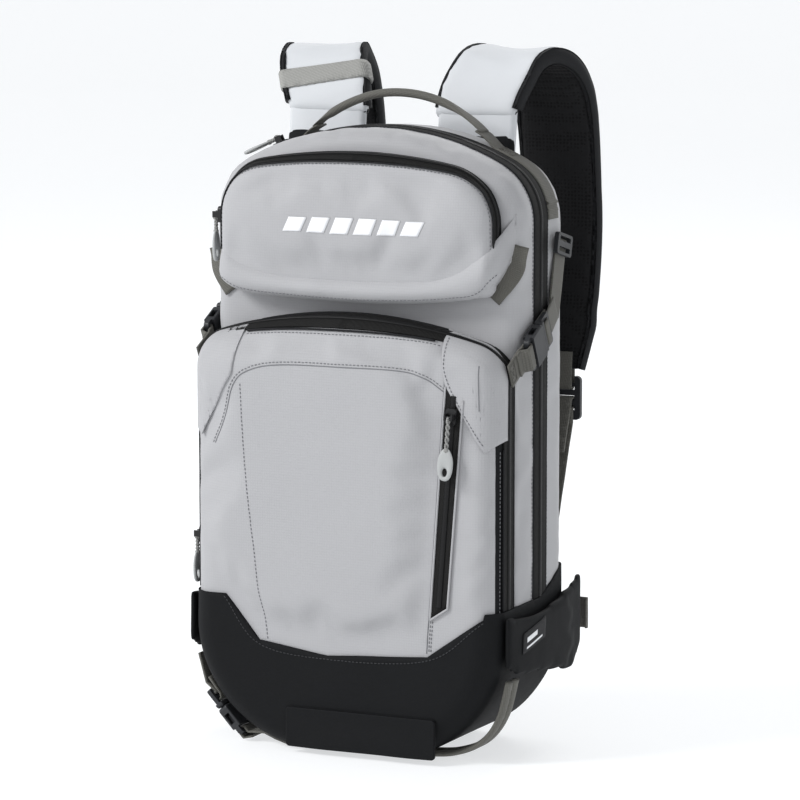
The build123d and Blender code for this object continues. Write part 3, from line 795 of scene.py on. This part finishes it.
for hand in ("left", "right"):
    node = f"shoulder_strap_{hand}"
    edges = strap_slices(node)
    # the pad's face and its root take the lighter strap grey: painted top light
    pad = soften(f"strap_pad_{hand}", node, 0.004, lambda p: 0.0, 0.0016, GREY_STRAP_PAINTED_TOP_LIGHT, 3.0,
                 body="harness", cut=(V((0, 0, 0.289)), V((0, 0, -1))),
                 shape=lambda c, f: folds(c, f, 0.0005, 25, 1, 7.7))
    pad.data.materials.append(MESH)
    for q in pad.data.polygons:
        q.material_index = 1 if q.normal.dot(inward(q.center)) > 0 else 0
    root = (edges[0][0] + edges[0][1]) / 2
    x = (edges[0][0].x + edges[0][1].x) / 2
    path = catmull([(x, 0.0690, 0.452), (x, 0.0708, 0.470), (x, 0.0730, 0.488), (x, 0.0745, 0.501),
                    (x, root.y, root.z + 0.004)], 0.004)
    neck = sweep(f"strap_root_{hand}", path, X, flat_section(0.0690, 0.0100, 0.0008), GREY_STRAP_PAINTED_TOP_LIGHT, None,
                 wobble=0.0004)
    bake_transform(neck)
    for k, which in enumerate(("a", "b")):
        outer = (k == 0) == (hand == "left")
        rim = [e[k].lerp(e[1 - k], 0.0022 / max((e[0] - e[1]).length, 1e-6)) for e in edges]
        across = [(e[1] - e[0]).normalized() for e in edges]
        pts = catmull(rim, 0.005)
        sides = [across[min(len(across) - 1, int(i * len(across) / len(pts)))] for i in range(len(pts))]
        thick = [(1, 1.0 - 0.22 * i / len(pts)) for i in range(len(pts))]
        ring = flat_section(0.0075, 0.0142) if outer else flat_section(0.0052, 0.0142)
        sweep(f"strap_binding_{hand}_{which}", pts, sides, ring, BINDING, "harness",
              scale=thick)
    x = (edges[-1][0].x + edges[-1][1].x) / 2
    fold = [(0.1335, 0.304), (0.1340, 0.290), (0.1338, 0.281), (0.1328, 0.2745), (0.1304, 0.2733),
            (0.1280, 0.2750), (0.1272, 0.282), (0.1278, 0.292), (0.1290, 0.304)]
    ribbon(f"lock_loop_{hand}", [(x, *q) for q in fold], X, 0.0170, 0.0013, body="harness", step=0.001)

copy_of("hose_keeper_band", "hose_keeper", WEB_LIGHT, body="harness", longest=0.004,
        uv=lambda p: (p.z, p.x), move=lambda p, n: n * 0.0019)
for hand in ("left", "right"):
    soften(f"hip_wing_pad_{hand}", f"hip_wing_{hand}", 0.0035, lambda p: near(p[1], 0.066, 1, 0.01), 0.0022,
           BLACK, 3.0, shape=lambda c, f: folds(c, f, 0.0006, 24, 0, 3.3))
soften("yoke_pad", "strap_yoke", 0.004, lambda p: near(p[1], -1, 0.066, 0.003), 0.002, BLACK,
       3.0)
soften("back_pad", "back_panel", 0.004, lambda p: near(p[1], -1, 0.0652, 0.002), 0.003, MESH,
       4.0)


# ---------------------------------------------------------------- zips
def zip_coil(name, pts, sides, width, height=0.0011):
    """The coil: a low ridge, nicked at every turn."""
    scale = [(1.0, 1.0) if i % 2 else (0.80, 0.55) for i in range(len(pts))]
    return sweep(name, pts, sides, round_section(1, 8), COIL, "pack",
                 scale=[(a * width / 2, b * height) for a, b in scale])


def belt_line(outline, y, grow, low, step):
    """Points and outward normals at depth y round an outline."""
    run = arch_run(*outline, grow, low, step)
    return [V((p[0], y, p[1])) for p, _ in run], [V((n[0], 0, n[1])) for _, n in run]


def belt_zip(tag, node, outline, low, coil_width, hem):
    """A zip round an arch: tape, coil, and the two folded hems of the cloth beside it."""
    a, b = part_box(node)
    thick = a.x * -1 - outline[0]
    mid = (a.y + b.y) / 2
    pts = belt_line(outline, mid, thick * 0.5, low, 0.004)[0]
    tape = sweep(f"{tag}_tape", pts, Y, flat_section(b.y - a.y, thick), TAPE_M, "pack")
    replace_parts(tape, node)
    zip_coil(f"{tag}_coil", belt_line(outline, mid, thick, low, 0.00075)[0], Y, coil_width)
    for k, (y, side) in enumerate(((a.y, -1), (b.y, 1))):
        pts = belt_line(outline, y + side * 0.0004, thick * 0.5, low, 0.004)[0]
        sweep(f"{tag}_hem_{k}", pts, Y, round_section(hem, 8), BINDING, "pack", wobble=0.0002)
        pts, normals = belt_line(outline, y + side * 0.0030, thick + 0.0002, low, 0.004)
        stitches(f"{tag}_stitch_{k}", [surface(p, n) for p, n in zip(pts, normals)], normals)


def surface(p, normal, reach=0.014):
    """The outermost cloth at p, looking in along normal."""
    best = None
    for t in CLOTH_TREE.values():
        hit = t.ray_cast(p + normal * reach, -normal, reach * 2)[0]
        if hit and (best is None or (hit - best).dot(normal) > 0):
            best = hit
    return best or p


belt_zip("main_zip", "main_zip_tape", MAIN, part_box("main_zip_tape")[0].z, 0.0056, 0.0008)


def on_slab(x, z, n, y, lift, face_y, edge_r):
    """A point on a slab's skin over outline point (x, z) at depth y, its normal and the way across."""
    n = V((n[0], 0, n[1]))
    lean = math.asin(min(1.0, max(0.0, (face_y + edge_r - y) / edge_r)))
    normal = n * math.cos(lean) + V((0, -math.sin(lean), 0))
    p = V((x, y, z)) - n * (edge_r * (1 - math.cos(lean))) + normal * lift
    return p, normal, V((0, -math.cos(lean), 0)) - n * math.sin(lean)


def open_runs(line):
    """The stretches of a zip's line that no wing flap covers."""
    runs, now = [], []
    for h in line:
        if min(t.find_nearest(h[0])[3] for t in LAPS.values()) < 0.0032:
            runs, now = runs + [now], []
        else:
            now.append(h)
    return [r for r in runs + [now] if len(r) > 9]


def forward_zip(tag, node, outline, face_y, edge_r, rise_from, lines, coil_width, hem):
    """A zip that comes forward on to a pocket's rounded edge over its crown.

    lines gives (y on the sides, y at the crown) for the coil, both hems and the stitching.
    """
    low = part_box(node)[0].z
    copy_of(f"{tag}_tape", node, TAPE_M, longest=0.008,
            uv=lambda p: (p.y, p.x - p.z * (1 if p.x > 0 else -1)))

    def path(y_side, y_crown, lift, step):
        out = []
        for (x, z), n in arch_run(*outline, 0, low, step):
            f = max(0.0, min(1.0, (z - rise_from) / (outline[1] - rise_from))) ** 0.75
            out.append(on_slab(x, z, n, y_side + (y_crown - y_side) * f, lift, face_y, edge_r))
        return out

    line = path(*lines[0], 0.0013, 0.00075)
    zip_coil(f"{tag}_coil", [c[0] for c in line], [c[2] for c in line], coil_width, 0.0013)
    for k in (1, 2):
        for i, line in enumerate(open_runs(path(*lines[k], 0.0009, 0.004))):
            sweep(f"{tag}_hem_{k}_{i}", [h[0] for h in line], [h[2] for h in line], round_section(hem, 8),
                  BINDING, "pack", wobble=0.0002)
    for i, line in enumerate(open_runs(path(*lines[3], 0.0010, 0.004))):
        stitches(f"{tag}_stitch_{i}", [surface(h[0], h[1]) for h in line], [h[1] for h in line])


forward_zip("front_zip", "front_zip_tape", POCKET, FACE_Y, 0.020, 0.318,
            ((-0.0570, -0.0725), (-0.0474, -0.0594), (-0.0664, -0.0817), (-0.0694, -0.0830)), 0.0060, 0.0009)
forward_zip("goggle_zip", "goggle_zip_tape", GOGGLE, GOGGLE_Y, 0.010, 0.450,
            ((-0.0486, -0.0553), (-0.0427, -0.0487), (-0.0549, -0.0612), (-0.0570, -0.0617)), 0.0036, 0.0007)

ENTRY_LO, ENTRY_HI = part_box("side_entry_tape")
copy_of("side_entry_tape_cloth", "side_entry_tape", TAPE_M, longest=0.008,
        uv=lambda p: (p.x, p.z))
down = axis_of("zip_side_entry")
knob = NODE["slider_side_entry"].data.vertices
middle = sum((v.co for v in knob), Vector()) / len(knob)
entry_top = V((middle.x, ENTRY_LO.y - 0.0002, middle.z)) - down * 0.016
entry_low = entry_top + down * 0.168
zip_coil("side_entry_coil", line_pts([entry_top, entry_low], 0.00075), X, 0.0050)
slot_w, slot_cut, y = 0.015, 0.010, ENTRY_LO.y - 0.0002      # the slot's width and its cut corners
left_side = [V((ENTRY_HI.x - slot_w, y, ENTRY_HI.z)), V((ENTRY_LO.x, y, ENTRY_LO.z))]
right_side = [V((ENTRY_HI.x, y, ENTRY_HI.z - slot_cut)), V((ENTRY_LO.x + slot_w, y, ENTRY_LO.z + slot_cut)),
              V((ENTRY_LO.x, y, ENTRY_LO.z))]
for k, path in enumerate((left_side, right_side)):
    pts = line_pts(path, 0.004)
    sweep(f"side_entry_hem_{k}", pts, [V((1, 0, 0.3))] * len(pts), round_section(0.0009, 8), GREY, "pack",
          wobble=0.0002)


# ---------------------------------------------------------------- webbing and the joints it crosses
def box_stitch(name, centre, u, v, normal, half_u, half_v, body="pack", on=None):
    """The square with a cross in it that holds a webbing end."""
    c, (u, v, normal) = V(centre), (V(q).normalized() for q in (u, v, normal))
    corners = [c + u * half_u * a + v * half_v * b for a, b in ((-1, -1), (1, -1), (1, 1), (-1, 1))]
    path = corners + [corners[0], corners[2], corners[1], corners[3]]
    pts = line_pts(path, 0.002)
    if on:
        pts = [q for q in (on.ray_cast(p + normal * 0.03, -normal)[0] for p in pts) if q]
    return stitches(name, pts, [normal] * len(pts), THREAD_T, body, 0.0024, 0.0017, 0.00028)


def centre_of(node):
    a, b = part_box(node)
    return (a + b) / 2


def strip(node, across, along, body="pack"):
    """Webbing of the CAD strip's own shape, slightly uneven, with its weave laid along it."""
    u, v = V(across).normalized(), V(along).normalized()
    return copy_of(f"{node}_strip", node, WEB, body=body, longest=0.005, crease=50,
                   move=lambda p, n: n * 0.00025 * noise.noise(p * 60), uv=lambda p: (p.dot(u), p.dot(v)))


strip("sternum_webbing_left", Z, X, "harness")
strip("waist_webbing_left", Z, X)
# node, body it is sewn to, plug it pulls, across, reach of its tail, reach of its run
pulled = [("sternum_webbing_right", "harness", "sternum", Z, 0.028, 0.085),
          ("waist_webbing_right", "pack", "waist", Z, 0.064, 0.125),
          ("bottom_webbing_rear", "pack", "bottom", Y, 0.028, 0.043)]
for hand in ("left", "right"):
    d = axis_of(f"compression_release_{hand}")
    pulled.append((f"compression_webbing_rear_{hand}", "pack", f"compression_{hand}", d.cross(X), 0.028,
                   0.041))
    strip(f"compression_webbing_front_{hand}", d.cross(X), d)
d = axis_of("bottom_release")
strip("bottom_webbing_front", Y, d)
for node, sewn, tag, across, tail, reach in pulled:
    stem, _, hand = tag.partition("_")
    ending = f"_{hand}" if hand else ""
    plug = f"{stem}_buckle_male{ending}"
    d = axis_of(f"{stem}_release{ending}")
    o = strip(node, across, d, None)
    c = centre_of(plug)
    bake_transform(o)
for hand in ("left", "right"):
    o = strip(f"strap_webbing_{hand}", X, (0, 0.4, 1), None)
    a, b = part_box(f"strap_webbing_{hand}")
    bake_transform(o)

comp = axis_of("compression_release_right")
for hand, s in (("left", -1), ("right", 1)):
    box_stitch(f"compression_stitch_{hand}", centre_of(f"compression_webbing_front_{hand}") - comp * 0.012
               + V((s * 0.0003, 0, 0)), comp, comp.cross(X), (s, 0, 0), 0.005, 0.0075,
               on=tree(bpy.data.objects[f"compression_webbing_front_{hand}_strip"]))
    box_stitch(f"waist_stitch_{hand}", (s * 0.118, 0.0995, 0.096), X, Z, Y, 0.008, 0.009)

for name, o in NODE.items():
    mat = ZINC if name.startswith("slider_") else None
    if "buckle" in name or "lock" in name or "triglide" in name:
        mat = PLASTIC
    if mat:
        if not o.data.materials:
            o.data.materials.append(mat)
        for sl in o.material_slots:
            sl.material = mat


# ---------------------------------------------------------------- handle and ski loop
hinge = V(JOINT["handle_lean"]["pos_m"])
handle_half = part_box("grab_handle")[1].x - 0.0025
rise_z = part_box("grab_handle")[1].z - 0.0036 - hinge.z
bow_r = (handle_half ** 2 + rise_z ** 2) / (2 * rise_z)
spread = math.asin(handle_half / bow_r)
bow, flatten = [], []
for i in range(73):
    t = i / 72
    a = -spread + 2 * spread * t
    bow.append(V((bow_r * math.sin(a), hinge.y, hinge.z + rise_z - bow_r * (1 - math.cos(a)))))
    f = max(float(smooth01(0.74, 0.93, t)), 1 - float(smooth01(0.03, 0.12, t)))
    flatten.append((1 + 1.35 * f, 1 - 0.66 * f))
roll_ = sweep("handle_roll", bow, Y, round_section(0.0036, 14, 0.95), WEB, "handle",
              scale=flatten, wobble=0.0004)
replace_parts(roll_, "grab_handle")
sweep("handle_seam", [p + V((0, -0.0030, -0.0012)) for p in bow[8:52]], Y, round_section(0.00035, 6),
      THREAD_T, "handle")

tab_pts = belt_line(MAIN, hinge.y, 0.0013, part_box("handle_tabs")[0].z, 0.003)[0]
for hand, s in (("left", -1), ("right", 1)):
    lie = [p for p in tab_pts if p.x * s > handle_half + 0.012]
    lie.sort(key=lambda p: -p.z)
    path = [V((s * (handle_half - 0.004), hinge.y, hinge.z + 0.0008)),
            V((s * (handle_half + 0.003), hinge.y, hinge.z - 0.0035)), *lie]
    ribbon(f"handle_tab_{hand}", path, Y, 0.0190, 0.0016)
    c = lie[3]
    n = V((c.x, 0, c.z - (MAIN[1] - MAIN[2]))).normalized()
    box_stitch(f"handle_stitch_{hand}", c + n * 0.0010, n.cross(Y), Y, n, 0.006, 0.0065)
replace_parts(bpy.data.objects["handle_tab_left"], "handle_tabs")

LOOP = [(0.062, 0.0040), (0.090, 0.0072), (0.114, 0.0180), (0.129, 0.0380), (0.1372, 0.0680)]
loop_y = centre_of("ski_loop").y
for k, y in enumerate((-0.0058, 0.0058)):
    path = catmull([(x, loop_y + y, z) for x, z in LOOP], 0.002)
    piece = sweep(f"ski_loop_fold_{k}", path, Y, round_section(0.0057, 14, 0.42), WEB, "pack",
                  wobble=0.0003)
    if k == 0:
        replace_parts(piece, "ski_loop")


# ---------------------------------------------------------------- zip pulls
def pull_tab(name, at, along, across, normal, length, width, body):
    """A moulded tab with a hole near its free end, crowned and thin at its rim."""
    n, hole_at, half = 40, length * 0.24, 0.0014
    rings = [(0.0, 0.35), (0.14, 0.9), (0.45, 1.0), (0.80, 0.85), (0.96, 0.55), (1.0, 0.12)]
    outline = []
    for k in range(n):
        a = 2 * math.pi * k / n
        ca, sa = math.cos(a), math.sin(a)
        neck = 1.0 - 0.30 * max(0.0, -ca) ** 2
        rim = (length / 2 * math.copysign(abs(ca) ** 0.85, ca),
               width / 2 * math.copysign(abs(sa) ** 0.8, sa) * neck)
        hole = (hole_at + length * 0.13 * ca, width * 0.17 * sa)
        outline.append((hole, rim))
    verts, faces = [], []
    for side in (1, -1):
        for t, h in (rings if side > 0 else rings[::-1]):
            for hole, rim in outline:
                u, w = (hole[i] + (rim[i] - hole[i]) * t for i in (0, 1))
                verts.append(at + along * u + across * w + normal * (half * h * side))
    count = 2 * len(rings)
    for i in range(count):
        j = (i + 1) % count
        for k in range(n):
            m = (k + 1) % n
            faces.append((i * n + k, i * n + m, j * n + m, j * n + k))
    return make(name, verts, faces, PULL, body)


def braid(name, start, end, across, normal, body):
    """Two strands wound round each other from the slider's pin to the tab."""
    run_, r = end - start, 0.00095
    for k in range(2):
        pts = []
        for i in range(49):
            t = i / 48
            a = 2 * math.pi * 2.5 * t + math.pi * k
            pts.append(start + run_ * t + across * (r * math.cos(a)) + normal * (r * math.sin(a)))
        sweep(f"{name}_{k}", pts, across, round_section(0.00085, 8), CORD, body)
    ring = [start + run_.normalized() * (0.0022 * math.cos(a)) + normal * (0.0022 * math.sin(a))
            for a in (2 * math.pi * i / 20 for i in range(21))]
    sweep(f"{name}_eye", ring, across, round_section(0.0009, 8), CORD, body, caps=False)


for tag in ("main_top", "main_low", "front", "goggle", "side_entry"):
    j = JOINT[f"pull_lift_{tag}"]
    pin, axis = V(j["pos_m"]), V(j["axis"]).normalized()
    body = f"pull_{tag}"
    pts = [v.co for v in NODE[body].data.vertices]
    hang = sum(pts, Vector()) / len(pts) - pin
    hang = (hang - axis * hang.dot(axis)).normalized()
    normal = (-hang).cross(axis)
    length = max((p - pin).dot(hang) for p in pts)
    width = max(abs((p - pin).dot(axis)) for p in pts) * 2
    tab = pull_tab(f"pull_tab_{tag}", pin + hang * (length - 0.013), hang, axis, normal, 0.026, width, body)
    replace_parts(tab, body)
    braid(f"pull_cord_{tag}", pin + hang * 0.0022, pin + hang * (length - 0.0235), axis, normal, body)
    sweep(f"pull_knot_{tag}", [pin + hang * (length - q) for q in (0.0262, 0.0250, 0.0236, 0.0222)], axis,
          round_section(0.0021, 10), CORD, body, scale=[(0.6, 0.6), (1, 1), (1, 1), (0.6, 0.6)])


# ---------------------------------------------------------------- seams, mark and label
def on_face(pts, trees, step=0.003):
    """A line drawn in the front view and laid on the first thing behind it."""
    out, normals = [], []
    for p in catmull([(x, 0, z) for x, z in pts], step):
        best = None
        for t in trees:
            hit, normal, _, d = t.ray_cast(V((p.x, FRONT_Y, p.z)), Y)
            if hit and (best is None or d < best[2]):
                best = (hit, normal, d)
        if best:
            out.append(best[0])
            normals.append(best[1])
    return out, normals


def seam(name, pts, trees, offsets=(0.0022,), dark=True, thread=THREAD):
    """A seam line if dark, and a row of stitches at each of offsets to one side of it."""
    line, normals = on_face(pts, trees)
    if dark:
        upright = abs(line[0].x - line[-1].x) < abs(line[0].z - line[-1].z)
        sweep(f"{name}_line", [p + n * 0.00010 for p, n in zip(line, normals)], X if upright else Z,
              round_section(0.00042, 6), THREAD, "pack")
    for k, off in enumerate(offsets):
        moved = [p + n.cross(t) * off for p, n, t in zip(line, normals, tangents(line))]
        moved = [(q.x, q.z) for q in moved]
        stitch_line, stitch_n = on_face(moved, trees)
        stitches(f"{name}_stitch_{k}", stitch_line, stitch_n, thread)


FACE = [CLOTH_TREE["front_pocket"]]
seam("arch_seam", [(-0.108, 0.245), (-0.099, 0.264), (-0.089, 0.294), (-0.075, 0.3055), (-0.048, 0.3110),
                   (0.006, 0.3120), (0.050, 0.3115), (0.072, 0.3070), (0.0895, 0.2965)], FACE, (0.0022,))
seam("left_leg", [(-0.085, 0.293), (-0.081, 0.225), (-0.0725, 0.153), (-0.0655, 0.0890)], FACE, (0.0016,),
     dark=False)
seam("right_seam", [(0.0925, 0.334), (0.0898, 0.300), (0.0770, 0.116), (0.0752, 0.089)], FACE,
     (0.0018, 0.0034))
seam("wing_edge_right", [(0.0895, 0.337), (0.0935, 0.304), (0.122, 0.256)], [LAPS["right"]], (0.0,),
     dark=False)
seam("wing_dart_right", [(0.1185, 0.318), (0.1195, 0.283)], [LAPS["right"]], ())
seam("boot_edge", [(x, z - 0.0025) for x, z in SCOOP[1:-1]], [tree(boot)], (0.0,), dark=False,
     thread=THREAD_B)
seam("band_edge", [(x, z + 0.0032) for x, z in BAND_LOWER[1:-1]], [tree(band)], (0.0,), dark=False)
MAIN_TREE = [CLOTH_TREE["main_compartment"]]
for hand, route in (("left", [(-0.1290, 0.3960), (-0.1250, 0.3800), (-0.1130, 0.3630)]),
                    ("right", [(0.1300, 0.4080), (0.1255, 0.3860), (0.1110, 0.3670)])):
    line, normals = on_face(route, MAIN_TREE)
    sweep(f"band_webbing_{hand}", [p + n * 0.0011 for p, n in zip(line, normals)],
          V((0.66 if hand == "right" else -0.66, 0, -0.75)), flat_section(0.0190, 0.0014), WEB, "pack")

# a plain row of slanted bars where the print was
mark_half, bar_w, bar_gap, mark_bars = 0.0585, 0.0155, 0.0048, 6
mark_z = GOGGLE[1] - 0.056
for k in range(mark_bars):
    cx = 0.004 - mark_half + k * (bar_w + bar_gap) + bar_w / 2
    verts = []
    nu, nv, tall, lean = 7, 9, 0.0135 - 0.0008 * abs(k - 2.5), 0.0055
    for j in range(nv):
        for i in range(nu):
            z = mark_z + tall * (j / (nv - 1) - 0.5)
            x = cx + bar_w * (i / (nu - 1) - 0.5) + lean * (j / (nv - 1) - 0.5)
            hit, normal = CLOTH_TREE["goggle_pocket"].ray_cast(V((x, FRONT_Y, z)), Y)[:2]
            verts.append(hit + normal * 0.00022)
    thicken(make(f"print_bar_{k}", verts, grid(nu, nv), PRINT, "pack"), 0.0002)

wing_tree = tree(bpy.data.objects["hip_wing_pad_right"])
LABEL_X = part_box("side_label")[1].x


def on_wing(y, z, lift):
    hit, normal = wing_tree.ray_cast(V((0.17, y, z)), -X)[:2]
    return (hit + normal * lift) if hit else V((LABEL_X + lift, y, z))


def wing_patch(name, corners, mat, lift, thick):
    """A small cloth patch on the right hip wing; corners are (y, z), round the patch."""
    a, b, c, d = (np.array(q) for q in corners)
    verts, uvs, nu, nv = [], [], 12, 6
    for j in range(nv):
        for i in range(nu):
            u, v = i / (nu - 1), j / (nv - 1)
            y, z = (a * (1 - u) + b * u) * (1 - v) + (d * (1 - u) + c * u) * v
            verts.append(on_wing(y, z, lift))
            uvs.append((z, y))
    return thicken(make(name, verts, grid(nu, nv), mat, "pack", uvs), thick)


label_corners = [(-0.052, 0.0880), (-0.012, 0.0960), (-0.010, 0.1120), (-0.050, 0.1040)]
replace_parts(wing_patch("side_label_patch", label_corners, LABEL, 0.0003, 0.0006), "side_label")
bars = {"long": [(-0.046, 0.0915), (-0.018, 0.0971), (-0.0178, 0.0987), (-0.0458, 0.0931)],
        "short": [(-0.045, 0.0965), (-0.027, 0.1001), (-0.0265, 0.1040), (-0.0445, 0.1004)]}
for which, corners in bars.items():
    wing_patch(f"label_bar_{which}", corners, PRINT, 0.0010, 0.0001)


# ---------------------------------------------------------------- room, light and camera
def plain(name, color, rough):
    m, nt, b = shader(name, color, rough, spec=0.2)
    co = add(nt, "ShaderNodeTexCoord").outputs["Object"]
    n = add(nt, "ShaderNodeTexNoise", Vector=co, Scale=3.0).outputs["Fac"]
    nt.links.new(mix_color(nt, n, color, tuple(c * 0.99 for c in color)), b.inputs["Base Color"])
    b.inputs["Emission Color"].default_value = (0.97, 0.985, 1.0, 1)
    b.inputs["Emission Strength"].default_value = 0.64
    return m


def backdrop():
    """A floor that sweeps up behind, seen from every side, so it is one wide round dish."""
    verts, faces, n = [V((0, 0, 0))], [], 64
    profile = [(1.0, 0), (3.0, 0), (5.0, 0), (6.0, 0.12), (6.9, 0.6), (7.3, 1.5), (7.4, 6.0)]
    for r, z in profile:
        for k in range(n):
            a = 2 * math.pi * k / n
            verts.append(V((r * math.cos(a), r * math.sin(a), z)))
    faces += [(0, 1 + k, 1 + (k + 1) % n) for k in range(n)]
    for i in range(len(profile) - 1):
        for k in range(n):
            a, b = 1 + i * n + k, 1 + i * n + (k + 1) % n
            faces.append((a, a + n, b + n, b))
    o = make("studio_floor", verts, faces, plain("studio_white", (0.42, 0.425, 0.43), 0.8), None)


def lamp(name, at, aim, wide, watts):
    light = bpy.data.lights.new(name, "AREA")
    light.shape, light.size, light.energy = "DISK", wide, watts
    o = placed(name, light)
    o.location = V(at)
    o.rotation_euler = (V(aim) - V(at)).to_track_quat("-Z", "Y").to_euler()


backdrop()
lamp("key", (-2.3, -2.3, 2.6), (0, 0, 0.25), 1.4, 120)
lamp("fill", (2.6, -2.2, 1.4), (0, 0, 0.25), 2.2, 4)
lamp("back", (0.0, 2.6, 2.8), (0, 0, 0.3), 1.6, 50)
world = bpy.data.worlds.new("studio")
bpy.context.scene.world = world
world.use_nodes = True
world.node_tree.nodes["Background"].inputs["Color"].default_value = (0.97, 0.98, 1.0, 1)
world.node_tree.nodes["Background"].inputs["Strength"].default_value = 0.31
bpy.context.scene.view_settings.view_transform = "Standard"

AZ, EL, FAR, TARGET = math.radians(25), math.radians(8), 3.4, V((0.013, 0.0, 0.275))
cam_data = bpy.data.cameras.new("camera")
cam_data.lens, cam_data.sensor_width = 191.25, 36
cam = placed("camera", cam_data)
cam.location = TARGET + FAR * V((math.sin(AZ) * math.cos(EL), -math.cos(AZ) * math.cos(EL), math.sin(EL)))
cam.rotation_euler = (TARGET - cam.location).to_track_quat("-Z", "Y").to_euler()
bpy.context.scene.camera = cam
